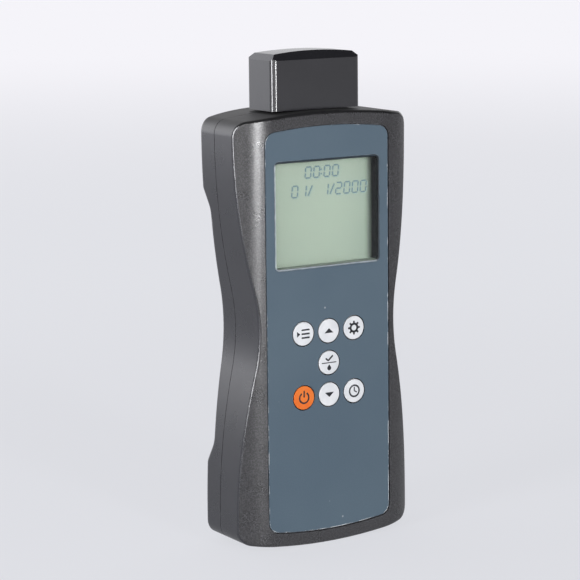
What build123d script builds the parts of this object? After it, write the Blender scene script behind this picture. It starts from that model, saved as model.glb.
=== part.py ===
from build123d import *
import math
import os

os.makedirs("parts", exist_ok=True)

# A handheld light meter for swab tests. It stands upright, its front faces -Y, and its cap is on top.
# All sizes are in millimetres.

# Cells that lie across the foot of the case, and the bay around them
CELL_RADIUS = 7.1
CELL_LENGTH = 49.2
CELL_TIP_RADIUS = 2.7
CELL_TIP_LENGTH = 1.3
CELL_SPACING = 0.4
CELL_FOOT_GAP = 0.28
CELL_BACK_GAP = 0.8
CELL_FRONT_GAP = 0.1
CELL_EDGE_BEVEL = 0.5
CONTACT_THICKNESS = 0.35
CONTACT_WIDTH = 7.0
CONTACT_ROOM = 4.25
BAY_WALL = 1.4
BAY_TOP_GAP = 0.7

# Walls and the joint between the two shells
SIDE_WALL = 2.0
FRONT_WALL = 2.4
BACK_WALL = 2.2
FRONT_SHELL_DEPTH = 18.1
TONGUE_INSET = 1.05
TONGUE_REACH = 1.4
GASKET_THICKNESS = 0.6
SEAM_WIDTH = 0.3
SEAM_DEPTH = 0.25
JOINT_CLEARANCE = 0.05
INSIDE_CLEARANCE = 0.15
RIB_THICKNESS = 1.2
FRONT_RIB_REACH = 1.5
BACK_RIB_REACH = 2.25
BACK_RIB_PITCH = 14.0

# Printed panel in its pocket
PANEL_MARGIN = 4.49
PANEL_BOTTOM = 5.4
PANEL_TOP_MARGIN = 5.3
PANEL_TOP_RADIUS = 190.0
PANEL_BOTTOM_RADIUS = 167.0
PANEL_CORNER = 4.3
PANEL_RECESS = 0.33
PANEL_THICKNESS = 0.5
PANEL_GAP = 0.43

# Display
WINDOW_HALF = 22.75
WINDOW_HEIGHT = 39.7
WINDOW_CORNER = 1.3
WINDOW_DROP = 13.1
PANE_LAP = 0.65
PANE_GAP = 0.06
GLASS_SIDE_LAP = 2.25
GLASS_TOP_LAP = 2.6
GLASS_FOOT_LAP = 2.9
GLASS_THICKNESS = 1.8
GLASS_FIT = 0.1
LIP_THICKNESS = 2.2
LIP_MARGIN = 0.45
LIGHT_THICKNESS = 0.9
FRAME_RIM = 1.5
STRIP_HEIGHT = 2.4
STRIP_GAP = 0.3

# Keys, their stems and the switches
KEY_RADIUS = 4.51
KEY_RING = 0.43
KEY_GUIDE_GAP = 0.24
KEY_PROUD = 0.15
KEY_EDGE_BEVEL = 0.12
KEY_PITCH_X = 11.35
KEY_PITCH_Z = 12.3
KEY_DROP = 25.3
KEY_FLANGE_LAP = 0.79
KEY_FLANGE_THICKNESS = 0.6
KEY_TRAVEL = 0.3
SWITCH_SIZE = 6.0
SWITCH_HEIGHT = 2.0
STEM_RADIUS = 1.5
STEM_PROUD = 0.5
STEM_SUNK = 1.1
STEM_CLEARANCE = 0.05
STEM_ROOM = 0.25

# Main board
BOARD_THICKNESS = 1.6
BOARD_EDGE_GAP = 1.2
BOARD_FOOT_REACH = 19.8
BOARD_TOP_GAP = 7.8
POST_RADIUS = 2.2
SMALL_SCREW_RADIUS = 0.9
SMALL_SCREW_LENGTH = 4.2
SMALL_HEAD_RADIUS = 1.8
SMALL_HEAD_HEIGHT = 1.2

# Places of the board screws, from the display, the waist and the foot of the board
TOP_POST_INSET = 1.0
TOP_POST_GAP = 3.4
WAIST_POST_INSET = 5.9
WAIST_POST_DROP = 11.2
FOOT_POST_GAP = 9.65
FOOT_POST_RISE = 10.0

# Parts on the back of the main board
BEEPER_RADIUS = 5.5
BEEPER_HEIGHT = 4.0
BEEPER_HOLE = 0.9
BEEPER_GAP = 11.8
BEEPER_DROP = 30.0
COIN_RADIUS = 6.25
COIN_HEIGHT = 2.0
COIN_RIM = 0.4
COIN_GAP = 12.8
COIN_DROP = 28.0
CHIP_GAP = 2.0
CHIP_HEIGHT = 1.4
SOCKET_HEIGHT = 3.0
CAN_RADIUS = 2.0
CAN_HEIGHT = 4.5
CAN_PITCH = 5.0

# Case screws
BOSS_INSET = 7.1
BOSS_DROP = 15.8
BOSS_RISE = 6.8
FRONT_BOSS_RADIUS = 2.8
BACK_BOSS_RADIUS = 3.4
BOSS_SETBACK = 0.6
BOSS_BOARD_GAP = 0.6
SCREW_WELL_DEPTH = 13.2
SCREW_RADIUS = 1.1
SCREW_LENGTH = 13.5
SCREW_HEAD_RADIUS = 2.1
SCREW_HEAD_HEIGHT = 1.5
SCREW_PILOT_GAP = 0.02
SCREW_PILOT_SPARE = 1.0
SCREW_HOLE_GAP = 0.2
SCREW_WELL_GAP = 0.3
CROSS_LENGTH = 1.3
CROSS_WIDTH = 0.35
CROSS_DEPTH = 0.7

# Swab chamber
CHAMBER_BORE = 6.0
CHAMBER_WALL = 1.2
CHAMBER_FLOOR = 1.5
CHAMBER_NECK = 12.0
CHAMBER_LEAD_IN = 0.4
CHAMBER_HOLE_GAP = 0.25
CHAMBER_BOARD_GAP = 0.3
COLLAR_LAP = 1.2
COLLAR_THICKNESS = 2.9
COLLAR_SEAL_ROOM = 1.4
SEAL_GAP = 0.05

# Light detector at the foot of the chamber
HOUSING_HALF = 12.0
HOUSING_HEIGHT = 35.0
HOUSING_RISE = 22.3
HOUSING_FLOOR = 5.0
HOUSING_FIT = 0.08
HOUSING_CORNER = 1.5
PORT_RISE = 9.5
PORT_RADIUS = 2.6
LENS_RADIUS = 3.6
LENS_THICKNESS = 1.1
LENS_SETBACK = 0.4
DIODE_RADIUS = 4.6
DIODE_HEIGHT = 2.6
DIODE_RIM = 0.5
SENSOR_FIT = 0.1
SENSOR_BOARD_HALF = 9.0
SENSOR_BOARD_HEIGHT = 22.0
SENSOR_BOARD_THICKNESS = 1.2
SHIELD_THICKNESS = 0.8
SHIELD_GAP = 0.65

# Cap
CAP_HALF = 19.57
CAP_NECK_GAP = 0.315
CAP_GAP = 0.2
CAP_TOP_RADIUS = 160.0
CAP_CORNER = 2.3
CAP_BEVEL = 3.2
CAP_WALL = 1.7
CAP_ROOF = 4.4
CAP_PAD = 4.8
CAP_SEAL = 0.8
CAP_RIB_GAP = 2.4

# Sliding door of the cell bay
DOOR_HALF = 28.0
DOOR_REACH = 9.5
DOOR_GAP = 0.2
DOOR_PAD_GAP = 0.3
RAIL_BOTTOM = 4.5
RAIL_SHORT = 2.7
RAIL_THICKNESS = 0.8
RAIL_LIP = 1.0
RAIL_SINK = 1.2
TONGUE_HALF = 7.0
TONGUE_THICKNESS = 1.2
TONGUE_LAP = 1.3
GRIP_GROOVES = 5
GRIP_PITCH = 2.4
GRIP_LENGTH = 20.0
GRIP_WIDTH = 1.2
GRIP_DEPTH = 0.5
GRIP_Z = 17.0

# Case outline, as seen from the front
SIDE_ROOM = 7.5
WAIST_PINCH = 8.0
WAIST_Z = 84.3
WAIST_RADIUS = 70.3
CASE_HEIGHT = 165.8
LOWER_FULL_Z = 11.6
UPPER_FULL_DROP = 8.8
BOTTOM_RADIUS = 210.0
TOP_RADIUS = 263.0
CORNER_RADIUS = 5.6

# Case section, as seen from above, and the grip valley across the back
FRONT_FALL = 13.7
FRONT_RADIUS = 20.7
BACK_FLAT_HALF = 9.0
BACK_RADIUS = 56.0
FRONT_EDGE_ROUND = 1.2
BACK_EDGE_ROUND = 2.6
VALLEY_DEPTH = 4.45
RAMP_LENGTH = 7.8
UPPER_PAD_HEIGHT = 28.8
LOWER_PAD_DROP = 1.8
VALLEY_ROUND = 9.0
PAD_ROUND = 4.0

# Widths that follow from the sizes above
CELL_HALF = (CELL_LENGTH + CELL_TIP_LENGTH) / 2
BAY_HALF = CELL_HALF + CONTACT_ROOM
SHOULDER_HALF = BAY_HALF + BAY_WALL + SIDE_ROOM
WAIST_HALF = SHOULDER_HALF - WAIST_PINCH
FRONT_FLAT_HALF = SHOULDER_HALF - FRONT_FALL
SIDE_REACH = SHOULDER_HALF + 2.6
PANEL_HALF = WINDOW_HALF + PANEL_MARGIN
GLASS_HALF = WINDOW_HALF + GLASS_SIDE_LAP
TUBE_RADIUS = CHAMBER_BORE + CHAMBER_WALL
COLLAR_RADIUS = TUBE_RADIUS + COLLAR_LAP
KEY_FLANGE_RADIUS = KEY_RADIUS + KEY_FLANGE_LAP

# Depths: the case is as deep as the stack from its front wall to the valley in its back
DISPLAY_STACK = LIP_THICKNESS + GLASS_THICKNESS + LIGHT_THICKNESS
LENS_STACK = LENS_SETBACK + LENS_THICKNESS + DIODE_HEIGHT
DETECTOR_STACK = LENS_STACK + SENSOR_BOARD_THICKNESS + SHIELD_THICKNESS + SHIELD_GAP
CHAMBER_STACK = CHAMBER_BOARD_GAP + 2 * TUBE_RADIUS
INNER_DEPTH = DISPLAY_STACK + BOARD_THICKNESS + CHAMBER_STACK + DETECTOR_STACK
CASE_DEPTH = FRONT_WALL + INNER_DEPTH + BACK_WALL + VALLEY_DEPTH
FRONT_Y = -CASE_DEPTH / 2
BACK_Y = CASE_DEPTH / 2
PANEL_FACE = FRONT_Y + PANEL_RECESS
POCKET_Y = PANEL_FACE + PANEL_THICKNESS
WEB_BACK = FRONT_Y + FRONT_WALL
GLASS_FACE = WEB_BACK + LIP_THICKNESS
GLASS_BACK = GLASS_FACE + GLASS_THICKNESS
BOARD_FACE = GLASS_BACK + LIGHT_THICKNESS
BOARD_BACK = BOARD_FACE + BOARD_THICKNESS
KEY_FACE = PANEL_FACE - KEY_PROUD
STEM_FACE = BOARD_FACE - SWITCH_HEIGHT - STEM_PROUD
CHAMBER_Y = BOARD_BACK + CHAMBER_BOARD_GAP + TUBE_RADIUS
LENS_FRONT = CHAMBER_Y + TUBE_RADIUS + LENS_SETBACK
DIODE_FRONT = LENS_FRONT + LENS_THICKNESS
HOUSING_BACK = DIODE_FRONT + DIODE_HEIGHT + SENSOR_BOARD_THICKNESS
SHIELD_BACK = HOUSING_BACK + SHIELD_THICKNESS
VALLEY_INSIDE = BACK_Y - VALLEY_DEPTH - BACK_WALL
PARTING_Y = FRONT_Y + FRONT_SHELL_DEPTH
LAP_Y = PARTING_Y + TONGUE_REACH + GASKET_THICKNESS
BOSS_MEET_Y = PARTING_Y - BOSS_SETBACK
SCREW_SEAT_Y = BACK_Y - SCREW_WELL_DEPTH
DOOR_FRONT_Y = BACK_Y - DOOR_REACH
CAP_DEPTH = 2 * (TUBE_RADIUS + CAP_NECK_GAP + CAP_WALL)

# Heights from the foot up
FOOT_RISE = BOTTOM_RADIUS - math.sqrt(BOTTOM_RADIUS**2 - CELL_HALF**2)
LOWER_CELL_Z = FOOT_RISE + SIDE_WALL + CELL_FOOT_GAP + CELL_RADIUS
UPPER_CELL_Z = LOWER_CELL_Z + 2 * CELL_RADIUS + CELL_SPACING
BAY_TOP = UPPER_CELL_Z + CELL_RADIUS + BAY_TOP_GAP
LOWER_PAD_TOP = BAY_TOP - LOWER_PAD_DROP
DOOR_TOP = LOWER_PAD_TOP - DOOR_PAD_GAP
RAIL_TOP = DOOR_TOP - RAIL_SHORT
HOUSING_BOTTOM = BAY_TOP + BAY_WALL + HOUSING_RISE
HOUSING_TOP = HOUSING_BOTTOM + HOUSING_HEIGHT
CHAMBER_FLOOR_Z = HOUSING_BOTTOM + HOUSING_FLOOR + CHAMBER_FLOOR
PORT_Z = CHAMBER_FLOOR_Z + PORT_RISE

# Heights from the top down
UPPER_FULL_Z = CASE_HEIGHT - UPPER_FULL_DROP
UPPER_PAD_BOTTOM = CASE_HEIGHT - UPPER_PAD_HEIGHT
PANEL_TOP = CASE_HEIGHT - PANEL_TOP_MARGIN
WINDOW_TOP = PANEL_TOP - WINDOW_DROP
WINDOW_BOTTOM = WINDOW_TOP - WINDOW_HEIGHT
GLASS_TOP = WINDOW_TOP + GLASS_TOP_LAP
GLASS_BOTTOM = WINDOW_BOTTOM - GLASS_FOOT_LAP
KEY_TOP_Z = WINDOW_BOTTOM - KEY_DROP
KEY_FOOT_Z = KEY_TOP_Z - 2 * KEY_PITCH_Z
BOARD_TOP = CASE_HEIGHT - BOARD_TOP_GAP
BOARD_BOTTOM = KEY_FOOT_Z - BOARD_FOOT_REACH
COLLAR_TOP = CASE_HEIGHT - SIDE_WALL - COLLAR_SEAL_ROOM
CAP_BOTTOM = CASE_HEIGHT + CAP_GAP
CHAMBER_TOP = CAP_BOTTOM + CHAMBER_NECK
CAP_CEILING = CHAMBER_TOP + CAP_SEAL + CAP_PAD
CAP_TOP = CAP_CEILING + CAP_ROOF

# Screws, each on both sides: distance from the middle, and height
BOSS_X = SHOULDER_HALF - BOSS_INSET
BOSS_PLACES = ((BOSS_X, CASE_HEIGHT - BOSS_DROP), (BOSS_X, BAY_TOP + BAY_WALL + BOSS_RISE))
POST_PLACES = (
    (GLASS_HALF - TOP_POST_INSET, GLASS_TOP + FRAME_RIM + TOP_POST_GAP),
    (WAIST_HALF - WAIST_POST_INSET, WINDOW_BOTTOM - WAIST_POST_DROP),
    (KEY_PITCH_X + FOOT_POST_GAP, BOARD_BOTTOM + FOOT_POST_RISE),
)

# Name of each key, its column and its row
KEYS = (
    ("select", -1, 0),
    ("up", 0, 0),
    ("set", 1, 0),
    ("enter", 0, 1),
    ("power", -1, 2),
    ("down", 0, 2),
    ("time", 1, 2),
)


def slab(face, near, far):
    """A face drawn in x and z, made solid between two depths."""
    return extrude(Plane.XZ.offset(-near) * face, amount=far - near, dir=(0, 1, 0))


def column(face, low, high):
    """A face drawn in x and y, made solid between two heights."""
    return extrude(Pos(0, 0, low) * face, amount=high - low)


def block(x_low, x_high, y_low, y_high, z_low, z_high):
    """A plain block between its limits."""
    middle = ((x_low + x_high) / 2, (y_low + y_high) / 2, (z_low + z_high) / 2)
    return Pos(*middle) * Box(x_high - x_low, y_high - y_low, z_high - z_low)


def rod(x, z, radius, near, far):
    """A round bar along Y."""
    return slab(Pos(x, z) * Circle(radius), near, far)


def drum(radius, low, high):
    """A round bar along Z, on the axis of the swab chamber."""
    return column(Pos(0, CHAMBER_Y) * Circle(radius), low, high)


def plate(half, low, high, corner):
    """A rounded rectangle in x and z, centred in x."""
    return Pos(0, (low + high) / 2) * RectangleRounded(2 * half, high - low, corner)


def level_rib(z, near, far):
    """A rib across the whole case."""
    half = RIB_THICKNESS / 2
    return block(-SIDE_REACH, SIDE_REACH, near, far, z - half, z + half)


def joined(pieces):
    """Several solids as one shape."""
    whole = pieces[0]
    return whole + pieces[1:] if len(pieces) > 1 else whole


def arc_about(center, start, end):
    """The short arc around a centre."""
    sx, sz = start[0] - center[0], start[1] - center[1]
    ex, ez = end[0] - center[0], end[1] - center[1]
    mx, mz = sx + ex, sz + ez
    scale = math.hypot(sx, sz) / math.hypot(mx, mz)
    return ThreePointArc(start, (center[0] + mx * scale, center[1] + mz * scale), end)


def side_curve(full_z, inset):
    """Centre of the arc from the full width to the waist, and where it meets the waist arc."""
    hollow_x = WAIST_HALF + WAIST_RADIUS
    dx = hollow_x - SHOULDER_HALF
    dz = WAIST_Z - full_z
    swell = (dx * dx + dz * dz - WAIST_RADIUS**2) / (2 * (WAIST_RADIUS - dx))
    center = (SHOULDER_HALF - swell, full_z)
    share = (WAIST_RADIUS + inset) / (WAIST_RADIUS + swell)
    return center, (hollow_x + (center[0] - hollow_x) * share, WAIST_Z + (center[1] - WAIST_Z) * share)


def case_outline(inset=0.0):
    """The waisted outline, with an arched foot and top, moved inwards by the inset."""
    half = SHOULDER_HALF - inset
    low_center = (0, BOTTOM_RADIUS)
    high_center = (0, CASE_HEIGHT - TOP_RADIUS)
    low_z = BOTTOM_RADIUS - math.sqrt((BOTTOM_RADIUS - inset) ** 2 - half**2)
    high_z = high_center[1] + math.sqrt((TOP_RADIUS - inset) ** 2 - half**2)
    lower_center, lower_meet = side_curve(LOWER_FULL_Z, inset)
    upper_center, upper_meet = side_curve(UPPER_FULL_Z, inset)
    edges = [
        Line((half, low_z), (half, LOWER_FULL_Z)),
        arc_about(lower_center, (half, LOWER_FULL_Z), lower_meet),
        arc_about((WAIST_HALF + WAIST_RADIUS, WAIST_Z), lower_meet, upper_meet),
        arc_about(upper_center, upper_meet, (half, UPPER_FULL_Z)),
        Line((half, UPPER_FULL_Z), (half, high_z)),
    ]
    edges += [edge.mirror(Plane.YZ) for edge in edges]
    edges.append(arc_about(low_center, (-half, low_z), (half, low_z)))
    edges.append(arc_about(high_center, (-half, high_z), (half, high_z)))
    face = make_face(edges)
    ends = (low_z, high_z)
    corners = [v for v in face.vertices() if min(abs(v.Y - z) for z in ends) < 0.01]
    return fillet(corners, max(CORNER_RADIUS - inset, CORNER_RADIUS / 4))


def front_side(inset=0.0):
    """Everything behind the front surface, which is flat in the middle and falls away to both sides."""
    near = FRONT_Y + inset
    center_y = FRONT_Y + FRONT_RADIUS
    reach = SIDE_REACH - FRONT_FLAT_HALF
    edge_y = center_y - math.sqrt((FRONT_RADIUS - inset) ** 2 - reach**2)
    right = arc_about((FRONT_FLAT_HALF, center_y), (FRONT_FLAT_HALF, near), (SIDE_REACH, edge_y))
    return mirrored_column(near, FRONT_FLAT_HALF, right, edge_y, BACK_Y + 20)


def mirrored_column(flat_y, flat_half, right, edge_y, end_y):
    """Column over the whole height, bounded by a flat, an arc on each side and a straight end."""
    edges = [
        Line((-flat_half, flat_y), (flat_half, flat_y)),
        right,
        right.mirror(Plane.YZ),
        Line((SIDE_REACH, edge_y), (SIDE_REACH, end_y)),
        Line((-SIDE_REACH, edge_y), (-SIDE_REACH, end_y)),
        Line((-SIDE_REACH, end_y), (SIDE_REACH, end_y)),
    ]
    return column(make_face(edges), -5, CASE_HEIGHT + 5)


def crown_y(x):
    """Depth of the back pads at a distance from the middle."""
    beyond = max(abs(x) - BACK_FLAT_HALF, 0.0)
    return BACK_Y - BACK_RADIUS + math.sqrt(BACK_RADIUS**2 - beyond**2)


def back_side(inset=0.0):
    """Everything behind the back surface: a crowned back with two pads and a grip valley between them."""
    edge_y = crown_y(SIDE_REACH)
    center = (BACK_FLAT_HALF, BACK_Y - BACK_RADIUS)
    right = arc_about(center, (BACK_FLAT_HALF, BACK_Y), (SIDE_REACH, edge_y))
    crown = mirrored_column(BACK_Y, BACK_FLAT_HALF, right, edge_y, BACK_Y + 20)
    face = crown.faces().sort_by(Axis.Z)[0]
    ramp_low = LOWER_PAD_TOP + RAMP_LENGTH
    ramp_high = UPPER_PAD_BOTTOM - RAMP_LENGTH
    marks = (
        (-5.0, 0.0),
        (LOWER_PAD_TOP, 0.0),
        (ramp_low, VALLEY_DEPTH),
        (ramp_high, VALLEY_DEPTH),
        (UPPER_PAD_BOTTOM, 0.0),
        (CASE_HEIGHT + 5, 0.0),
    )
    pieces = []
    for (low, low_sink), (high, high_sink) in zip(marks, marks[1:]):
        way = Vector(0, low_sink - high_sink, high - low)
        start = Pos(0, -low_sink - inset, low + 5) * face
        pieces.append(extrude(start, amount=way.length, dir=way))
    whole = joined(pieces)
    whole = fillet(creases(whole, (ramp_low, ramp_high)), VALLEY_ROUND)
    return fillet(creases(whole, (LOWER_PAD_TOP, UPPER_PAD_BOTTOM)), PAD_ROUND)


def creases(solid, heights):
    """Level edges of the back surface at these heights."""
    found = []
    for edge in solid.edges():
        size = edge.bounding_box().size
        middle = edge.center()
        level = min(abs(middle.Z - z) for z in heights) < 0.01 and size.Z < 0.01
        if level and size.X > 1 and middle.Y < BACK_Y + 5:
            found.append(edge)
    return found


def body(side_inset=0.0, front_inset=0.0, back_inset=0.0):
    """The case as one solid, or the room inside it."""
    raw = slab(case_outline(side_inset), FRONT_Y - 1, BACK_Y + 1)
    return (raw & front_side(front_inset)) - back_side(back_inset)


def rim_edges(solid, front):
    """The ring of edges where the side walls meet the front or the back."""
    inner = case_outline(0.05)
    found = []
    for edge in solid.edges():
        middle = edge @ 0.5
        along_y = edge.bounding_box().size.Y > 0.7 * edge.length
        inside = inner.is_inside(Vector(middle.X, middle.Z, 0))
        if (middle.Y < 0) == front and not along_y and not inside:
            found.append(edge)
    return found


def rounded_case():
    """The whole case before it is split, with soft edges round its front and back."""
    case = body()
    case = fillet(rim_edges(case, True), FRONT_EDGE_ROUND)
    return fillet(rim_edges(case, False), BACK_EDGE_ROUND)


def arched_plate(half, bottom, bottom_radius, top, top_radius, corner):
    """A plate with straight sides and a bowed foot and top."""
    low_z = bottom + bottom_radius - math.sqrt(bottom_radius**2 - half**2)
    high_z = top - top_radius + math.sqrt(top_radius**2 - half**2)
    edges = [
        arc_about((0, bottom + bottom_radius), (-half, low_z), (half, low_z)),
        Line((half, low_z), (half, high_z)),
        arc_about((0, top - top_radius), (half, high_z), (-half, high_z)),
        Line((-half, high_z), (-half, low_z)),
    ]
    face = make_face(edges)
    return fillet(face.vertices(), corner)


def panel_face(gap=0.0):
    """Outline of the printed panel, or of its pocket."""
    return arched_plate(
        PANEL_HALF + gap,
        PANEL_BOTTOM - gap,
        PANEL_BOTTOM_RADIUS + gap,
        PANEL_TOP + gap,
        PANEL_TOP_RADIUS + gap,
        PANEL_CORNER + gap,
    )


def pane_face(gap=0.0):
    """Outline of the clear pane over the display, or of its hole in the panel."""
    lap = PANE_LAP + gap
    return plate(WINDOW_HALF + lap, WINDOW_BOTTOM - lap, WINDOW_TOP + lap, WINDOW_CORNER + lap)


def frame_face(gap=0.0):
    """Outline of the display frame, or of its seat."""
    rim = FRAME_RIM + gap
    return plate(GLASS_HALF + rim, GLASS_BOTTOM - rim, GLASS_TOP + rim, rim)


def key_places():
    """Name and place of every key."""
    return [(name, across * KEY_PITCH_X, KEY_TOP_Z - row * KEY_PITCH_Z) for name, across, row in KEYS]


def both_sides(places):
    """Each place with its mirror image."""
    return [(side * x, z) for x, z in places for side in (-1, 1)]


def side_block(side, x_near, x_far, y_low, y_high, z_low, z_high):
    """A block on one side of the case, given by its distances from the middle."""
    x_low, x_high = sorted((side * x_near, side * x_far))
    return block(x_low, x_high, y_low, y_high, z_low, z_high)


def chamber_hole():
    """Hole for the chamber in the top of the case."""
    return drum(TUBE_RADIUS + CHAMBER_HOLE_GAP, COLLAR_TOP - COLLAR_THICKNESS, CASE_HEIGHT + 5)


def seam():
    """Fine groove round the case where the two shells meet."""
    half = SEAM_WIDTH / 2
    band = block(-50, 50, PARTING_Y - half, PARTING_Y + half, -5, CASE_HEIGHT + 5)
    return band - slab(case_outline(SEAM_DEPTH), PARTING_Y - 1, PARTING_Y + 1)


def front_shell(case, room):
    """Front half of the case, with the panel pocket, key holes, posts, bosses and ribs."""
    inner = [rod(x, z, FRONT_BOSS_RADIUS, FRONT_Y, BOSS_MEET_Y) for x, z in both_sides(BOSS_PLACES)]
    inner += [rod(x, z, POST_RADIUS, FRONT_Y, BOARD_FACE) for x, z in both_sides(POST_PLACES)]
    rib_back = WEB_BACK + FRONT_RIB_REACH
    for z in (KEY_FOOT_Z - 41.8, KEY_FOOT_Z - 27.8, KEY_FOOT_Z - 6.6, WINDOW_BOTTOM - 6.8):
        inner.append(level_rib(z, FRONT_Y, rib_back))
    beside = GLASS_HALF + FRAME_RIM + INSIDE_CLEARANCE
    for side in (-1, 1):
        rib = (FRONT_Y, GLASS_BACK - 0.6, WINDOW_BOTTOM + 1.3, WINDOW_TOP - 1.4)
        inner.append(side_block(side, beside, beside + RIB_THICKNESS, *rib))
    shell = (case - room) + (joined(inner) & case)
    shell &= block(-50, 50, FRONT_Y - 1, PARTING_Y, -5, CASE_HEIGHT + 5)
    tongue = slab(case_outline(TONGUE_INSET), PARTING_Y - 0.6, PARTING_Y + TONGUE_REACH)
    shell += tongue - slab(case_outline(SIDE_WALL), PARTING_Y - 1, PARTING_Y + 3)
    cuts = [
        slab(panel_face(PANEL_GAP), FRONT_Y - 1, POCKET_Y),
        slab(plate(WINDOW_HALF, WINDOW_BOTTOM, WINDOW_TOP, WINDOW_CORNER), FRONT_Y - 1, GLASS_FACE),
        slab(frame_face(GLASS_FIT), WEB_BACK, BOARD_FACE),
        chamber_hole(),
        seam(),
    ]
    for _, x, z in key_places():
        cuts.append(rod(x, z, KEY_RADIUS + KEY_GUIDE_GAP, FRONT_Y - 1, WEB_BACK + 1))
    tip = BOARD_BACK - SMALL_SCREW_LENGTH
    for x, z in both_sides(POST_PLACES):
        cuts.append(rod(x, z, SMALL_SCREW_RADIUS + SCREW_PILOT_GAP, tip - 0.2, BOARD_FACE + 1))
    tip = SCREW_SEAT_Y - SCREW_LENGTH
    for x, z in both_sides(BOSS_PLACES):
        cuts.append(rod(x, z, SCREW_RADIUS + SCREW_PILOT_GAP, tip - SCREW_PILOT_SPARE, BOSS_MEET_Y + 1))
    return shell - cuts


def cell_bay(case):
    """Tray around the two cells, open at the back."""
    floor_y = cell_depth() - CELL_RADIUS - CELL_FRONT_GAP
    half = BAY_HALF + BAY_WALL
    outer = block(-half, half, floor_y - BAY_WALL, BACK_Y, 0, BAY_TOP + BAY_WALL)
    inner = block(-BAY_HALF, BAY_HALF, floor_y, BACK_Y + 1, -5, BAY_TOP)
    near = slab(case_outline(SIDE_WALL + INSIDE_CLEARANCE), FRONT_Y, LAP_Y)
    far = slab(case_outline(SIDE_WALL / 4), LAP_Y, BACK_Y + 1) & case
    return (outer - inner) & (near + far)


def back_shell(case, room):
    """Back half of the case, with the cell bay, its rails, screw wells and ribs."""
    inner = [rod(x, z, BACK_BOSS_RADIUS, BOSS_MEET_Y, BACK_Y) for x, z in both_sides(BOSS_PLACES)]
    press = (HOUSING_BOTTOM + 3, HOUSING_TOP - 3)
    for z in press:
        half = RIB_THICKNESS / 2
        inner.append(block(-HOUSING_HALF, HOUSING_HALF, SHIELD_BACK, BACK_Y, z - half, z + half))
    for side in (-1, 1):
        near = HOUSING_HALF + INSIDE_CLEARANCE
        inner.append(side_block(side, near, near + RIB_THICKNESS, HOUSING_BACK - 5, BACK_Y, *press))
    rib_front = VALLEY_INSIDE - BACK_RIB_REACH
    for z in [HOUSING_BOTTOM - 7] + [HOUSING_TOP + 10 + BACK_RIB_PITCH * i for i in range(3)]:
        inner.append(level_rib(z, rib_front, BACK_Y))
    shell = (case - room) + (joined(inner) & case)
    inside = slab(case_outline(SIDE_WALL + INSIDE_CLEARANCE), BOSS_MEET_Y - 1, LAP_Y)
    shell &= block(-50, 50, PARTING_Y, BACK_Y + 1, -5, CASE_HEIGHT + 5) + inside
    shell -= slab(case_outline(TONGUE_INSET - JOINT_CLEARANCE), PARTING_Y - 1, LAP_Y) - inside
    shell += cell_bay(case)
    rail_y = rail_depth()
    cuts = [block(-DOOR_HALF, DOOR_HALF, DOOR_FRONT_Y, BACK_Y + 1, -5, DOOR_TOP), chamber_hole(), seam()]
    for side in (-1, 1):
        slot = (rail_y - DOOR_GAP, rail_y + RAIL_THICKNESS + DOOR_GAP, -5, RAIL_BOTTOM + DOOR_GAP)
        cuts.append(side_block(side, DOOR_HALF - 1, DOOR_HALF + RAIL_LIP + DOOR_GAP, *slot))
    for x, z in both_sides(BOSS_PLACES):
        cuts.append(rod(x, z, SCREW_RADIUS + SCREW_HOLE_GAP, BOSS_MEET_Y - 1, BACK_Y + 1))
        cuts.append(rod(x, z, SCREW_HEAD_RADIUS + SCREW_WELL_GAP, SCREW_SEAT_Y, BACK_Y + 1))
    shell -= cuts
    ledge = (rail_y - DOOR_GAP - RAIL_THICKNESS, rail_y - DOOR_GAP, RAIL_BOTTOM, RAIL_TOP)
    return shell + [side_block(side, DOOR_HALF + DOOR_GAP, BAY_HALF + 0.4, *ledge) for side in (-1, 1)]


def case_gasket():
    """Soft cord in the groove between the shells."""
    near = PARTING_Y + TONGUE_REACH
    ring = slab(case_outline(TONGUE_INSET), near, LAP_Y)
    return ring - [slab(case_outline(SIDE_WALL), near - 1, LAP_Y + 1), chamber_hole()]


def panel_overlay():
    """Thin printed panel with holes for the keys and the display pane."""
    near, far = PANEL_FACE - 1, POCKET_Y + 1
    cuts = [rod(x, z, KEY_RADIUS + KEY_RING, near, far) for _, x, z in key_places()]
    return slab(panel_face(), PANEL_FACE, POCKET_Y) - (cuts + [slab(pane_face(PANE_GAP), near, far)])


def display_frame():
    """Tray that holds the display glass behind its window."""
    fit, lip = GLASS_FIT, LIP_MARGIN
    room = plate(GLASS_HALF + fit, GLASS_BOTTOM - fit, GLASS_TOP + fit, 0.5)
    view = plate(WINDOW_HALF + lip, WINDOW_BOTTOM - lip, WINDOW_TOP + lip, WINDOW_CORNER)
    cuts = [slab(room, GLASS_FACE, BOARD_FACE + 1), slab(view, WEB_BACK - 1, GLASS_BACK)]
    return slab(frame_face(), WEB_BACK, BOARD_FACE) - cuts


def display_strip():
    """Springy strip that joins the foot of the glass to the board."""
    low = GLASS_BOTTOM + STRIP_GAP
    return slab(plate(GLASS_HALF - 3, low, low + STRIP_HEIGHT, 0.3), GLASS_BACK, BOARD_FACE)


def light_guide():
    """Milky plate behind the glass, above the strip."""
    low = GLASS_BOTTOM + 2 * STRIP_GAP + STRIP_HEIGHT
    return slab(plate(GLASS_HALF, low, GLASS_TOP, 0.4), GLASS_BACK, BOARD_FACE)


def key_shape(x, z):
    """Round key with a flange behind the shell and a short post to its stem."""
    cap = rod(x, z, KEY_RADIUS, KEY_FACE, WEB_BACK)
    cap = chamfer(cap.edges().sort_by(Axis.Y)[0], KEY_EDGE_BEVEL)
    flange = rod(x, z, KEY_FLANGE_RADIUS, WEB_BACK, WEB_BACK + KEY_FLANGE_THICKNESS)
    return cap + [flange, rod(x, z, STEM_RADIUS + 0.2, WEB_BACK, STEM_FACE)]


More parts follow.
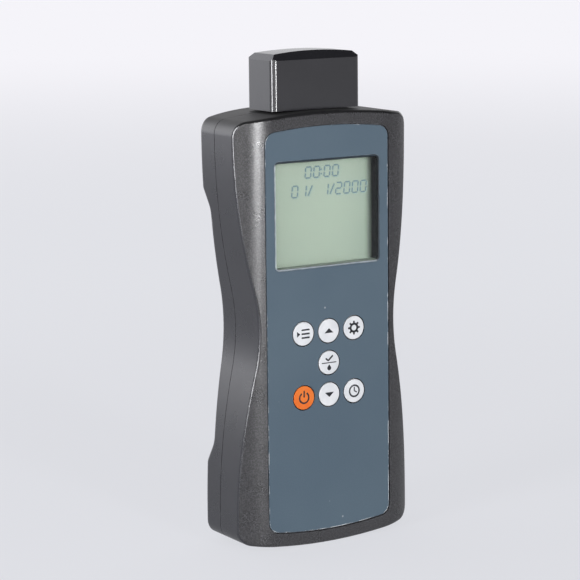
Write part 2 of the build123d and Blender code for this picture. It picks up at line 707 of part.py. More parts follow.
def stem_shape(x, z):
    """Stem that stands in the switch and carries the key."""
    return rod(x, z, STEM_RADIUS, STEM_FACE, STEM_FACE + STEM_PROUD + STEM_SUNK)


def switch_bodies():
    """One low switch body behind each key, each with a blind hole for its stem."""
    near = BOARD_FACE - SWITCH_HEIGHT
    bodies = []
    for _, x, z in key_places():
        case = slab(Pos(x, z) * Rectangle(SWITCH_SIZE, SWITCH_SIZE), near, BOARD_FACE)
        hole = near + STEM_SUNK + KEY_TRAVEL + STEM_ROOM
        bodies.append(case - rod(x, z, STEM_RADIUS + STEM_CLEARANCE, near - 1, hole))
    return joined(bodies)


def main_board():
    """Circuit board that follows the waist of the case, with notches round the bosses."""
    middle = (BOARD_BOTTOM + BOARD_TOP) / 2
    face = case_outline(SIDE_WALL + BOARD_EDGE_GAP)
    face &= Pos(0, middle) * Rectangle(2 * SIDE_REACH, BOARD_TOP - BOARD_BOTTOM)
    cuts = [Pos(x, z) * Circle(FRONT_BOSS_RADIUS + BOSS_BOARD_GAP) for x, z in both_sides(BOSS_PLACES)]
    cuts += [Pos(x, z) * Circle(SMALL_SCREW_RADIUS + SCREW_HOLE_GAP) for x, z in both_sides(POST_PLACES)]
    return slab(face - cuts, BOARD_FACE, BOARD_BACK)


def chip(x, z, wide, tall, height):
    """A package on the back of the board, given by its distance from the middle and from the board's foot."""
    z += BOARD_BOTTOM
    return block(x - wide / 2, x + wide / 2, BOARD_BACK, BOARD_BACK + height, z - tall / 2, z + tall / 2)


def board_chips():
    """Packages on the back of the board, beside the chamber: chips, a socket and three small cans."""
    beside = HOUSING_HALF + CHIP_GAP
    low = 0.8 * CHIP_HEIGHT
    chips = [
        chip(-beside - 6, 36, 12, 12, CHIP_HEIGHT),
        chip(-beside - 5, 48.5, 7, 5, low),
        chip(-beside - 5, 23, 3, 1.6, low),
        chip(-beside - 5, 26, 3, 1.6, low),
        chip(beside + 4, 22, 6, 6, CHIP_HEIGHT),
        chip(beside + 5.5, 34, 10, 4, SOCKET_HEIGHT),
        chip(beside + 3.5, 49, 5, 6, low),
    ]
    for place in range(3):
        z = BOARD_TOP - BEEPER_DROP - (5 + place) * CAN_PITCH
        chips.append(rod(beside + 1.5, z, CAN_RADIUS, BOARD_BACK, BOARD_BACK + CAN_HEIGHT))
    return joined(chips)


def beeper():
    """Round beeper with a sound hole."""
    x, z = -TUBE_RADIUS - BEEPER_GAP, BOARD_TOP - BEEPER_DROP
    back = BOARD_BACK + BEEPER_HEIGHT
    return rod(x, z, BEEPER_RADIUS, BOARD_BACK, back) - rod(x, z, BEEPER_HOLE, back - BEEPER_HOLE, back + 1)


def clock_cell():
    """Coin cell that keeps the clock running."""
    x, z = TUBE_RADIUS + COIN_GAP, BOARD_TOP - COIN_DROP
    rim = BOARD_BACK + COIN_HEIGHT - COIN_RIM
    return rod(x, z, COIN_RADIUS, BOARD_BACK, rim) + rod(x, z, 0.9 * COIN_RADIUS, rim, rim + COIN_RIM)


def cross_screw(x, z, seat, head_radius, head_height, radius, length):
    """Cross-head screw along Y that points towards the front."""
    top = seat + head_height
    head = rod(x, z, head_radius, seat, top)
    head = chamfer(head.edges().sort_by(Axis.Y)[-1], head_height / 5)
    cuts = []
    for wide, tall in ((CROSS_LENGTH, CROSS_WIDTH), (CROSS_WIDTH, CROSS_LENGTH)):
        cuts.append(block(x - wide, x + wide, top - CROSS_DEPTH, top + 1, z - tall, z + tall))
    return (head - cuts) + rod(x, z, radius, seat - length, seat)


def case_screws():
    """Four screws in wells in the back."""
    size = (SCREW_SEAT_Y, SCREW_HEAD_RADIUS, SCREW_HEAD_HEIGHT, SCREW_RADIUS, SCREW_LENGTH)
    return joined([cross_screw(x, z, *size) for x, z in both_sides(BOSS_PLACES)])


def board_screws():
    """Six small screws that hold the board to its posts."""
    size = (BOARD_BACK, SMALL_HEAD_RADIUS, SMALL_HEAD_HEIGHT, SMALL_SCREW_RADIUS, SMALL_SCREW_LENGTH)
    return joined([cross_screw(x, z, *size) for x, z in both_sides(POST_PLACES)])


def chamber_tube():
    """Long blind tube for the swab, with a collar under the case top and a light port near its foot."""
    tube = drum(TUBE_RADIUS, CHAMBER_FLOOR_Z - CHAMBER_FLOOR, CHAMBER_TOP)
    tube += drum(COLLAR_RADIUS, COLLAR_TOP - COLLAR_THICKNESS, COLLAR_TOP)
    tube -= drum(CHAMBER_BORE, CHAMBER_FLOOR_Z, CHAMBER_TOP + 1)
    at_mouth = tube.edges().filter_by(lambda e: abs(e.center().Z - CHAMBER_TOP) < 0.01)
    tube = chamfer(at_mouth.sort_by(SortBy.LENGTH)[0], CHAMBER_LEAD_IN)
    return tube - rod(0, PORT_Z, PORT_RADIUS, CHAMBER_Y, LENS_FRONT)


def chamber_seal():
    """Soft ring between the collar and the case top."""
    sag = COLLAR_RADIUS**2 / (2 * (TOP_RADIUS - SIDE_WALL))
    top = CASE_HEIGHT - SIDE_WALL - sag - SEAL_GAP
    return drum(COLLAR_RADIUS, COLLAR_TOP, top) - drum(TUBE_RADIUS, COLLAR_TOP - 1, top + 1)


def sensor_face(gap=0.0):
    """Outline of the small detector board, or of its pocket."""
    reach = SENSOR_BOARD_HEIGHT / 2 + gap
    return plate(SENSOR_BOARD_HALF + gap, PORT_Z - reach, PORT_Z + reach, 1.0)


def detector_housing():
    """Black block round the foot of the chamber, with the stepped light path to the detector."""
    depth = HOUSING_BACK - BOARD_BACK
    plan = Pos(0, (BOARD_BACK + HOUSING_BACK) / 2) * RectangleRounded(2 * HOUSING_HALF, depth, HOUSING_CORNER)
    cuts = [
        drum(TUBE_RADIUS + HOUSING_FIT, CHAMBER_FLOOR_Z - CHAMBER_FLOOR, HOUSING_TOP + 1),
        rod(0, PORT_Z, PORT_RADIUS, CHAMBER_Y, HOUSING_BACK),
        rod(0, PORT_Z, LENS_RADIUS + SENSOR_FIT, LENS_FRONT, HOUSING_BACK),
        rod(0, PORT_Z, DIODE_RADIUS + SENSOR_FIT, DIODE_FRONT, HOUSING_BACK),
        slab(sensor_face(SENSOR_FIT), HOUSING_BACK - SENSOR_BOARD_THICKNESS, HOUSING_BACK + 1),
    ]
    return column(plan, HOUSING_BOTTOM, HOUSING_TOP) - cuts


def photodiode():
    """Detector can with a rim, seated on the lens."""
    back = DIODE_FRONT + DIODE_HEIGHT
    can = rod(0, PORT_Z, DIODE_RADIUS - DIODE_RIM, DIODE_FRONT, back)
    return can + rod(0, PORT_Z, DIODE_RADIUS, back - DIODE_RIM, back)


def detector_shield():
    """Metal plate that closes the housing."""
    return slab(plate(HOUSING_HALF, HOUSING_BOTTOM, HOUSING_TOP, HOUSING_CORNER), HOUSING_BACK, SHIELD_BACK)


def bevel_face(half):
    """Outline of the cap from the front or the side, with both top corners bevelled."""
    bevel_z = CAP_TOP - CAP_BEVEL
    rise = CAP_BEVEL + 2
    points = [(-half, CAP_BOTTOM - 1), (-half, bevel_z), (rise - half, bevel_z + rise)]
    points += [(-x, z) for x, z in reversed(points)]
    return make_face(Polyline(points, close=True))


def cap_shell():
    """Block cap with a bevelled, bowed top and a hollow that clears the chamber neck."""
    half_depth = CAP_DEPTH / 2
    near, far = CHAMBER_Y - half_depth, CHAMBER_Y + half_depth
    plan = Pos(0, CHAMBER_Y) * RectangleRounded(2 * CAP_HALF, CAP_DEPTH, CAP_CORNER)
    bow = arched_plate(CAP_HALF + 5, CAP_BOTTOM - 5, CAP_TOP_RADIUS, CAP_TOP, CAP_TOP_RADIUS, 1.0)
    outer = column(plan, CAP_BOTTOM, CAP_TOP + 1) & slab(bow, near - 1, far + 1)
    outer &= slab(bevel_face(CAP_HALF), near - 1, far + 1)
    side_view = Plane.YZ.offset(-CAP_HALF - 1) * Pos(CHAMBER_Y, 0) * bevel_face(half_depth)
    outer &= extrude(side_view, amount=2 * CAP_HALF + 2, dir=(1, 0, 0))
    hollow = RectangleRounded(2 * (CAP_HALF - CAP_WALL), CAP_DEPTH - 2 * CAP_WALL, 0.8)
    outer -= column(Pos(0, CHAMBER_Y) * hollow, CAP_BOTTOM - 1, CAP_CEILING)
    rib_x = TUBE_RADIUS + CAP_RIB_GAP
    ribs = []
    for side in (-1, 1):
        size = (near + 1, far - 1, CAP_BOTTOM + CHAMBER_NECK / 2, CAP_CEILING + 1)
        ribs.append(side_block(side, rib_x, rib_x + RIB_THICKNESS, *size))
    return outer + ribs


def cap_pad():
    """Pad under the roof of the cap that presses the seal on the chamber mouth."""
    return drum(TUBE_RADIUS, CHAMBER_TOP + CAP_SEAL, CAP_CEILING)


def cell_depth():
    """Depth of the axis of both cells, just inside the crowned door."""
    return crown_y(CELL_HALF) - BACK_WALL - CELL_BACK_GAP - CELL_RADIUS


def cell_shape(z, side):
    """Round cell lying across the case, with its tip towards one side."""
    turn = Rot(0, 90, 0)
    can = Pos(-side * CELL_TIP_LENGTH / 2, cell_depth(), z) * turn * Cylinder(CELL_RADIUS, CELL_LENGTH)
    can = chamfer(can.edges().filter_by(GeomType.CIRCLE), CELL_EDGE_BEVEL)
    tip_x = side * (CELL_HALF - (CELL_TIP_LENGTH + 1) / 2)
    return can + Pos(tip_x, cell_depth(), z) * turn * Cylinder(CELL_TIP_RADIUS, CELL_TIP_LENGTH + 1)


def contact_strip(side, cells):
    """Springy strip on the wall of the bay, bowed out to touch the end of each cell."""
    wall = side * BAY_HALF
    near = side * (CELL_HALF + CONTACT_THICKNESS)
    flat, foot, top = 0.76 * CELL_RADIUS, 0.56 * CELL_RADIUS, 0.14 * CELL_RADIUS
    points = []
    for z in cells:
        points += [(wall, z - flat), (wall, z - foot), (near, z - top)]
        points += [(near, z + top), (wall, z + foot), (wall, z + flat)]
    back = [(x - side * CONTACT_THICKNESS, z) for x, z in reversed(points)]
    strip = make_face(Polyline(points + back, close=True))
    half = CONTACT_WIDTH / 2
    return slab(strip, cell_depth() - half, cell_depth() + half)


def rail_depth():
    """Depth of the front of the door rails."""
    return crown_y(DOOR_HALF + RAIL_LIP) - BACK_WALL - RAIL_SINK


def battery_door(case, room):
    """Sliding door cut from the foot of the back, with rails, a tongue at its top and thumb grooves."""
    gap = DOOR_GAP
    far = BACK_Y + 1
    half = DOOR_HALF - gap
    door = (case - room) & block(-half, half, DOOR_FRONT_Y + gap, far, -5, DOOR_TOP - gap)
    door &= slab(case_outline(gap), FRONT_Y - 1, far)
    rail_y = rail_depth()
    web_back = crown_y(DOOR_HALF) - BACK_WALL + RAIL_THICKNESS
    under = BACK_Y - BACK_WALL
    tongue_front = under - 2 * TONGUE_THICKNESS
    low = DOOR_TOP - 3
    adds = [
        block(-TONGUE_HALF, TONGUE_HALF, tongue_front, under + 0.5, low, DOOR_TOP - 4 * gap),
        block(-TONGUE_HALF, TONGUE_HALF, tongue_front, under - TONGUE_THICKNESS, low, DOOR_TOP + TONGUE_LAP),
    ]
    for side in (-1, 1):
        inner_x = DOOR_HALF - 1.5
        adds.append(side_block(side, inner_x, DOOR_HALF - 2 * gap, rail_y, web_back, RAIL_BOTTOM, RAIL_TOP))
        lip = (rail_y, rail_y + RAIL_THICKNESS, RAIL_BOTTOM, RAIL_TOP)
        adds.append(side_block(side, inner_x, DOOR_HALF + RAIL_LIP, *lip))
    door += adds
    grooves = []
    for row in range(GRIP_GROOVES):
        z = GRIP_Z + (row - (GRIP_GROOVES - 1) / 2) * GRIP_PITCH
        grooves.append(slab(Pos(0, z) * SlotOverall(GRIP_LENGTH, GRIP_WIDTH), BACK_Y - GRIP_DEPTH, far))
    return door - grooves


def build():
    """Every node of the part."""
    case = rounded_case()
    room = body(SIDE_WALL, FRONT_WALL, BACK_WALL)
    parts = {
        "front_shell": front_shell(case, room),
        "back_shell": back_shell(case, room),
        "case_gasket": case_gasket(),
        "battery_door": battery_door(case, room),
        "panel_overlay": panel_overlay(),
        "display_window": slab(pane_face(), PANEL_FACE, POCKET_Y),
        "display_frame": display_frame(),
        "display_glass": slab(plate(GLASS_HALF, GLASS_BOTTOM, GLASS_TOP, 0.4), GLASS_FACE, GLASS_BACK),
        "display_strip": display_strip(),
        "light_guide": light_guide(),
        "main_board": main_board(),
        "board_chips": board_chips(),
        "beeper": beeper(),
        "clock_cell": clock_cell(),
        "switch_bodies": switch_bodies(),
        "board_screws": board_screws(),
        "case_screws": case_screws(),
        "chamber_tube": chamber_tube(),
        "chamber_seal": chamber_seal(),
        "detector_housing": detector_housing(),
        "detector_lens": rod(0, PORT_Z, LENS_RADIUS, LENS_FRONT, DIODE_FRONT),
        "photodiode": photodiode(),
        "sensor_board": slab(sensor_face(), HOUSING_BACK - SENSOR_BOARD_THICKNESS, HOUSING_BACK),
        "detector_shield": detector_shield(),
        "cap_shell": cap_shell(),
        "cap_pad": cap_pad(),
        "cap_seal": drum(TUBE_RADIUS, CHAMBER_TOP, CHAMBER_TOP + CAP_SEAL),
        "cell_lower": cell_shape(LOWER_CELL_Z, 1),
        "cell_upper": cell_shape(UPPER_CELL_Z, -1),
        "contact_left": contact_strip(-1, (LOWER_CELL_Z, UPPER_CELL_Z)),
        "contact_right": contact_strip(1, (LOWER_CELL_Z,)) + contact_strip(1, (UPPER_CELL_Z,)),
    }
    for name, x, z in key_places():
        parts[f"key_{name}"] = key_shape(x, z)
        parts[f"stem_{name}"] = stem_shape(x, z)
    return parts


for node, shape in build().items():
    export_step(shape, f"parts/{node}.step")
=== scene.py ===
import math

import bmesh
import bpy
from mathutils import Matrix, Vector


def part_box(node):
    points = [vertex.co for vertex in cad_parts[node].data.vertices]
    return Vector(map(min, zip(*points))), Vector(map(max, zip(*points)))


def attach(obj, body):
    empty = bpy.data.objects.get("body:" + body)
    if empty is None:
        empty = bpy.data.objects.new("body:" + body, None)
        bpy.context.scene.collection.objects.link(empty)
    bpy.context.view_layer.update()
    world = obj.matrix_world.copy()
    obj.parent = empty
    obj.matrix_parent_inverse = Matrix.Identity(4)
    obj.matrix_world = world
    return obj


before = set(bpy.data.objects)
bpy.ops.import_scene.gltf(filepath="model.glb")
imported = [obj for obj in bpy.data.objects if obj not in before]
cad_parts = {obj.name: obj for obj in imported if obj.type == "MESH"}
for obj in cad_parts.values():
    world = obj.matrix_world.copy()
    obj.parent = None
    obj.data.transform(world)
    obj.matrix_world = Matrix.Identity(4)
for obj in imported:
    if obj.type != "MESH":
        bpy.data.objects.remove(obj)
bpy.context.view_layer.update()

MM = 0.001

# Places taken from the solids, in metres
GLASS_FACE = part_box("display_glass")[0].y
PANE_LOW, PANE_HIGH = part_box("display_window")
KEY_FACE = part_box("key_up")[0].y
PANEL_FACE, PANEL_BACK = (corner.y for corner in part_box("panel_overlay"))

KEY_NAMES = ("select", "up", "set", "enter", "power", "down", "time")

# How far the pane reaches past the opening behind it
PANE_LAP = 0.65 * MM

# Painted shade on the opening's walls ends over these distances behind the glass's face and beyond the pane's
# sides
WELL_BEHIND = (0.5 * MM, 0.3 * MM)
WELL_BEYOND = (0.9 * MM, 0.7 * MM)


def srgb(red, green, blue):
    """A colour written as it looks on a screen, 0 to 255, as Blender's linear colour."""
    def linear(value):
        value /= 255
        return value / 12.92 if value <= 0.04045 else ((value + 0.055) / 1.055) ** 2.4
    return (linear(red), linear(green), linear(blue), 1.0)


# Shader helpers


class Nodes:
    """Short calls for adding nodes to one tree. A socket goes by its name, or by its number as _0, _1."""

    place = None

    def __init__(self, tree):
        self.tree = tree

    def join(self, socket, value):
        if isinstance(value, bpy.types.NodeSocket):
            self.tree.links.new(value, socket)
        else:
            socket.default_value = value

    def plug(self, item, sockets):
        for name, value in sockets.items():
            self.join(item.inputs[int(name[1:]) if name[0] == "_" else name.replace("_", " ")], value)

    def add(self, kind, settings=None, **sockets):
        item = self.tree.nodes.new(kind)
        for name, value in (settings or {}).items():
            setattr(item, name, value)
        self.plug(item, sockets)
        return item

    def math(self, operation, first, second=0.0):
        return self.add("ShaderNodeMath", {"operation": operation}, _0=first, _1=second).outputs[0]

    def ramp(self, value, low, high, start=0.0, end=1.0):
        """The value carried from one range to another, with soft ends."""
        soft = {"interpolation_type": "SMOOTHSTEP"}
        return self.add("ShaderNodeMapRange", soft, _0=value, _1=low, _2=high, _3=start, _4=end).outputs[0]

    def mix(self, share, first, second):
        """Two colours mixed by a share."""
        item = self.add("ShaderNodeMix", {"data_type": "RGBA"}, _0=share)
        for socket, value in zip([s for s in item.inputs if s.type == "RGBA"], (first, second)):
            self.join(socket, value)
        return [s for s in item.outputs if s.type == "RGBA"][0]

    def axis(self, name, place=None):
        """One axis of a vector, or of the place on the object."""
        return self.add("ShaderNodeSeparateXYZ", _0=place or self.place).outputs[name]


class Paint(Nodes):
    """One node material, with short calls for what most finishes share."""

    def __init__(self, name, **sockets):
        self.material = bpy.data.materials.new(name)
        self.material.use_nodes = True
        super().__init__(self.material.node_tree)
        self.shader = self.tree.nodes["Principled BSDF"]
        self.plug(self.shader, sockets)
        self.place = self.add("ShaderNodeTexCoord").outputs["Object"]

    def noise(self, size, detail=2.0, roughness=0.5):
        """Cloudy noise whose lumps are about this many millimetres across."""
        sockets = {"Vector": self.place, "Scale": 1 / (size * MM), "Detail": detail, "Roughness": roughness}
        return self.add("ShaderNodeTexNoise", **sockets).outputs["Fac"]

    def cells(self, size, feature="F1"):
        """How far it is to the nearest seed, or to the nearest cell wall."""
        sockets = {"Vector": self.place, "Scale": 1 / (size * MM)}
        return self.add("ShaderNodeTexVoronoi", {"feature": feature}, **sockets).outputs["Distance"]

    def bump(self, height, depth, strength=1.0, under=None):
        """Relief of a depth in millimetres."""
        item = self.add("ShaderNodeBump", Height=height, Distance=depth * MM, Strength=strength)
        if under is not None:
            self.plug(item, {"Normal": under})
        return item.outputs["Normal"]

    def facing(self, axis):
        """How much a surface faces along an axis, -1 to 1."""
        return self.axis(axis, self.add("ShaderNodeTexCoord").outputs["Normal"])

    def well(self):
        """1 on the walls of the opening behind the display's pane, where the case is painted near-black as
        shade.
        """
        inside = self.ramp(self.axis("Y"), GLASS_FACE + WELL_BEHIND[0], GLASS_FACE + WELL_BEHIND[1])
        for axis in ("X", "Z"):
            low, high = getattr(PANE_LOW, axis.lower()), getattr(PANE_HIGH, axis.lower())
            away = self.math("ABSOLUTE", self.math("SUBTRACT", self.axis(axis), (low + high) / 2))
            half = (high - low) / 2
            within = self.ramp(away, half + WELL_BEYOND[0], half + WELL_BEYOND[1])
            inside = self.math("MULTIPLY", within, inside)
        return inside

    def edges(self, radius):
        """1 along sharp and tightly rounded edges."""
        soft = self.add("ShaderNodeBevel", {"samples": 6}, Radius=radius * MM).outputs["Normal"]
        flat = self.add("ShaderNodeNewGeometry").outputs["Normal"]
        dot = self.add("ShaderNodeVectorMath", {"operation": "DOT_PRODUCT"}, _0=soft, _1=flat)
        return self.ramp(dot.outputs["Value"], 0.992, 0.9)

    def specks(self, size, share):
        """Sparse round specks of dust, one in some of the cells."""
        item = self.add("ShaderNodeTexVoronoi", Vector=self.place, Scale=1 / (size * MM), Randomness=1.0)
        near = self.ramp(item.outputs["Distance"], 0.07, 0.03)
        lot = self.ramp(self.axis("X", item.outputs["Color"]), 1 - share, 1 - share + 0.02)
        return self.math("MULTIPLY", near, lot)

    def wear(self, colour, pale, radius, share):
        """The colour, paler in patches along worn edges."""
        patches = self.ramp(self.noise(3.0, 3.0), 0.42, 0.66, 0.0, share)
        return self.mix(self.math("MULTIPLY", self.edges(radius), patches), colour, pale)

    def finish(self, **sockets):
        self.plug(self.shader, sockets)
        return self.material


def assign(material, *nodes):
    """Gives a finish to CAD nodes."""
    for name in nodes:
        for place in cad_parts[name].material_slots:
            place.material = material


# Finishes


def case_plastic():
    """Black moulded plastic: coarse grain on the front, its pale flecks partly painted glints, smooth along
    its ridge, fine satin on the walls, with painted shade on upward faces and in the display's opening.
    """
    paint = Paint("case_black", Specular_IOR_Level=1.0, IOR=1.6)
    facing = paint.math("MULTIPLY", paint.facing("Y"), -1.0)
    rise = paint.facing("Z")
    front = paint.ramp(facing, 0.7, 0.78)
    ridge = paint.math("MULTIPLY", paint.ramp(facing, 0.05, 0.25), paint.ramp(facing, 0.78, 0.7))
    tone = paint.mix(paint.ramp(paint.noise(24.0, 3.0), 0.3, 0.7), srgb(27, 28, 36), srgb(33, 34, 42))
    coarse = paint.noise(0.5, 2.0, 0.65)
    # Coarse grain on the front; its pale flecks are partly painted glints of light on the grain.
    grain_and_painted_glints = paint.mix(paint.ramp(coarse, 0.44, 0.6), srgb(8, 8, 10), srgb(66, 65, 69))
    tone = paint.mix(front, tone, grain_and_painted_glints)
    # Painted shade: faces that turn upwards are painted near-black.
    tone = paint.mix(paint.ramp(rise, 0.05, 0.45), tone, srgb(10, 10, 12))
    # Painted shade: the walls of the display's opening are painted near-black.
    tone = paint.mix(paint.well(), tone, srgb(9, 9, 10))
    tone = paint.wear(tone, srgb(96, 96, 101), 1.4, 0.3)
    tone = paint.mix(paint.math("MULTIPLY", paint.specks(9.0, 0.15), 0.35), tone, srgb(170, 170, 172))
    fine = paint.noise(0.26, 2.0, 0.6)
    rough = paint.ramp(paint.noise(9.0, 4.0), 0.25, 0.75, 0.26, 0.31)
    rough = paint.math("SUBTRACT", rough, paint.math("MULTIPLY", ridge, 0.06))
    rough = paint.math("ADD", rough, paint.math("MULTIPLY", paint.ramp(rise, 0.35, 0.9), 0.28))
    even = paint.math("SUBTRACT", 1.0, paint.math("MULTIPLY", ridge, 0.85))
    relief = paint.bump(paint.math("MULTIPLY", fine, even), 0.03, 0.5)
    relief = paint.bump(paint.math("MULTIPLY", coarse, front), 0.07, 0.4, relief)
    return paint.finish(Base_Color=tone, Roughness=rough, Normal=relief)


def cap_plastic():
    """Finer satin black for the cap."""
    paint = Paint("cap_black", Specular_IOR_Level=1.0, IOR=1.6)
    tone = paint.mix(paint.ramp(paint.noise(18.0, 3.0), 0.3, 0.7), srgb(24, 24, 29), srgb(31, 31, 36))
    tone = paint.wear(tone, srgb(96, 96, 102), 0.4, 0.25)
    tone = paint.mix(paint.math("MULTIPLY", paint.specks(5.0, 0.25), 0.6), tone, srgb(190, 190, 192))
    fine = paint.noise(0.3, 2.0, 0.6)
    rough = paint.ramp(paint.noise(7.0, 3.0), 0.25, 0.75, 0.17, 0.2)
    return paint.finish(Base_Color=tone, Roughness=rough, Normal=paint.bump(fine, 0.02, 0.5))


def panel_print():
    """Slate blue printed film with a very fine matt tooth, a few specks and light scuffs."""
    paint = Paint("panel_blue")
    tone = paint.mix(paint.ramp(paint.noise(40.0, 2.0), 0.3, 0.7), srgb(85, 104, 119), srgb(90, 109, 123))
    tone = paint.mix(paint.ramp(paint.noise(0.35, 1.0), 0.35, 0.75, 0.0, 0.14), tone, srgb(120, 134, 146))
    tone = paint.wear(tone, srgb(190, 196, 202), 0.25, 0.6)
    tone = paint.mix(paint.math("MULTIPLY", paint.specks(7.0, 0.3), 0.55), tone, srgb(205, 208, 212))
    rough = paint.ramp(paint.noise(12.0, 5.0, 0.65), 0.3, 0.7, 0.4, 0.5)
    relief = paint.bump(paint.noise(0.3, 2.0, 0.6), 0.012, 0.5)
    return paint.finish(Base_Color=tone, Roughness=rough, Normal=relief)


def clear_film():
    """Clear film over the display; light passes it without a shadow."""
    sockets = {"Roughness": 0.08, "IOR": 1.25, "Transmission_Weight": 1.0}
    paint = Paint("clear_film", Base_Color=srgb(250, 252, 250), **sockets)
    relief = paint.bump(paint.noise(12.0, 1.0), 0.01, 0.1)
    paint.plug(paint.shader, {"Normal": relief})
    gone = paint.add("ShaderNodeBsdfTransparent")
    shadow = paint.add("ShaderNodeLightPath").outputs["Is Shadow Ray"]
    both = paint.add("ShaderNodeMixShader", _0=shadow, _1=paint.shader.outputs[0], _2=gone.outputs[0])
    paint.tree.links.new(both.outputs[0], paint.tree.nodes["Material Output"].inputs["Surface"])
    return paint.material


# Painted shade: the display is painted darker from here to the right, and darker still over its last
# millimetres as the painted shadow of the opening's right wall
PAINTED_DIM_START = 6 * MM
SHADE = (PANE_HIGH.x - 4.5 * MM, PANE_HIGH.x - 0.4 * MM)


def display_face():
    """Reflective grey-green display with a faint haze, painted darker towards its right side as shade."""
    paint = Paint("display_green", IOR=1.5)
    tone = paint.mix(paint.ramp(paint.noise(26.0, 2.0), 0.3, 0.7), srgb(134, 146, 134), srgb(138, 150, 137))
    tone = paint.mix(paint.ramp(paint.noise(1.2, 2.0), 0.4, 0.8, 0.0, 0.1), tone, srgb(130, 145, 133))
    # Painted shade towards the right, then the right wall's painted shadow.
    tone = paint.mix(paint.ramp(paint.axis("X"), PAINTED_DIM_START, PANE_HIGH.x, 0.0, 0.7), tone, srgb(122, 135, 124))
    tone = paint.mix(paint.ramp(paint.axis("X"), *SHADE), tone, srgb(30, 34, 32))
    rough = paint.ramp(paint.noise(6.0, 3.0), 0.3, 0.7, 0.3, 0.36)
    relief = paint.bump(paint.noise(0.2, 1.0), 0.001, 0.3)
    return paint.finish(Base_Color=tone, Roughness=rough, Normal=relief)


def simple(name, dark, light, lump, rough, grain, depth, metallic=0.0):
    """Two near tones with a fine grain, whose size and depth are in millimetres, for the plainer parts."""
    paint = Paint(name, Metallic=metallic)
    tone = paint.mix(paint.ramp(paint.noise(lump, 3.0), 0.3, 0.7), dark, light)
    shine = paint.ramp(paint.noise(lump / 2, 4.0), 0.25, 0.75, rough - 0.05, rough + 0.06)
    relief = paint.bump(paint.noise(grain, 2.0, 0.55), depth, 0.5)
    return paint.finish(Base_Color=tone, Roughness=shine, Normal=relief)


def key_plastic(name, base, shade):
    """Moulded key with a soft sheen and painted shade along its rim."""
    paint = Paint(name)
    tone = paint.mix(paint.ramp(paint.noise(5.0, 3.0), 0.3, 0.75), base, shade)
    # Painted shade: the rim is painted towards the darker tone.
    tone = paint.mix(paint.math("MULTIPLY", paint.edges(0.35), 0.35), tone, shade)
    rough = paint.ramp(paint.noise(3.0, 4.0), 0.3, 0.7, 0.34, 0.44)
    return paint.finish(Base_Color=tone, Roughness=rough, Normal=paint.bump(paint.noise(0.3, 2.0), 0.01, 0.5))


def circuit_board():
    """Green solder mask with tracks and plated holes."""
    paint = Paint("board_green")
    tone = paint.mix(paint.ramp(paint.noise(15.0, 2.0), 0.3, 0.7), srgb(24, 82, 52), srgb(30, 94, 58))
    tracks = paint.cells(2.4, "DISTANCE_TO_EDGE")
    tone = paint.mix(paint.ramp(tracks, 0.09, 0.05), tone, srgb(52, 122, 78))
    pads = paint.ramp(paint.cells(1.9), 0.2, 0.16)
    tone = paint.mix(paint.math("MULTIPLY", pads, 0.7), tone, srgb(188, 190, 184))
    relief = paint.bump(paint.ramp(tracks, 0.09, 0.05), 0.035, 0.6)
    rough = paint.ramp(paint.noise(4.0, 3.0), 0.3, 0.7, 0.28, 0.4)
    return paint.finish(Base_Color=tone, Roughness=rough, Normal=relief)


# Where a cell's copper bands start and stop and its metal ends start, each a soft step, from its middle
BAND_START = (15.2 * MM, 15.5 * MM)
BAND_STOP = (24.1 * MM, 23.9 * MM)
METAL_START = (23.85 * MM, 24.0 * MM)


def cell_wrap():
    """Plain wrapped cell: a dark sleeve, a copper band near each end and bright metal ends."""
    paint = Paint("cell_wrap", Specular_IOR_Level=0.5)
    away = paint.math("ABSOLUTE", paint.axis("X"))
    band = paint.ramp(away, *BAND_START)
    band = paint.math("MULTIPLY", band, paint.ramp(away, *BAND_STOP))
    ends = paint.ramp(away, *METAL_START)
    sleeve = paint.mix(paint.ramp(paint.noise(9.0, 3.0), 0.3, 0.7), srgb(38, 42, 48), srgb(46, 50, 56))
    tone = paint.mix(band, sleeve, srgb(176, 112, 66))
    tone = paint.mix(ends, tone, srgb(186, 187, 190))
    rough = paint.ramp(paint.noise(4.0, 4.0), 0.3, 0.7, 0.22, 0.34)
    relief = paint.bump(paint.noise(0.6, 2.0), 0.012, 0.4)
    metal = paint.math("MAXIMUM", ends, band)
    return paint.finish(Base_Color=tone, Roughness=rough, Normal=relief, Metallic=metal)


def print_ink(name, colour, worn):
    """Printed ink, slightly broken."""
    paint = Paint(name)
    tone = paint.mix(paint.ramp(paint.noise(0.5, 3.0), 0.5, 0.8, 0.0, 0.5), colour, worn)
    rough = paint.ramp(paint.noise(1.0, 2.0), 0.3, 0.7, 0.45, 0.55)
    relief = paint.bump(paint.noise(0.25, 1.0), 0.004, 0.4)
    return paint.finish(Base_Color=tone, Roughness=rough, Normal=relief)


def rim_highlight_and_shade():
    """Lip round the window, painted pale as a highlight along its left and bottom, and painted dark as shade
    along its top and its right side.
    """
    paint = Paint("rim_grey")
    pale = paint.mix(paint.ramp(paint.noise(3.0, 3.0), 0.3, 0.7), srgb(158, 168, 175), srgb(182, 191, 196))
    top = paint.ramp(paint.axis("Z"), PANE_HIGH.z - 2.0 * MM, PANE_HIGH.z - 0.6 * MM)
    right = paint.ramp(paint.axis("X"), PANE_HIGH.x - 2.0 * MM, PANE_HIGH.x - 0.6 * MM)
    # Painted shade along the top and the right side; the pale tone is a painted highlight along the left and
    # the bottom.
    tone = paint.mix(paint.math("MAXIMUM", top, right), pale, srgb(52, 63, 72))
    rough = paint.ramp(paint.noise(1.5, 4.0), 0.25, 0.75, 0.28, 0.38)
    return paint.finish(Base_Color=tone, Roughness=rough, Normal=paint.bump(paint.noise(0.3, 2.0), 0.01, 0.5))


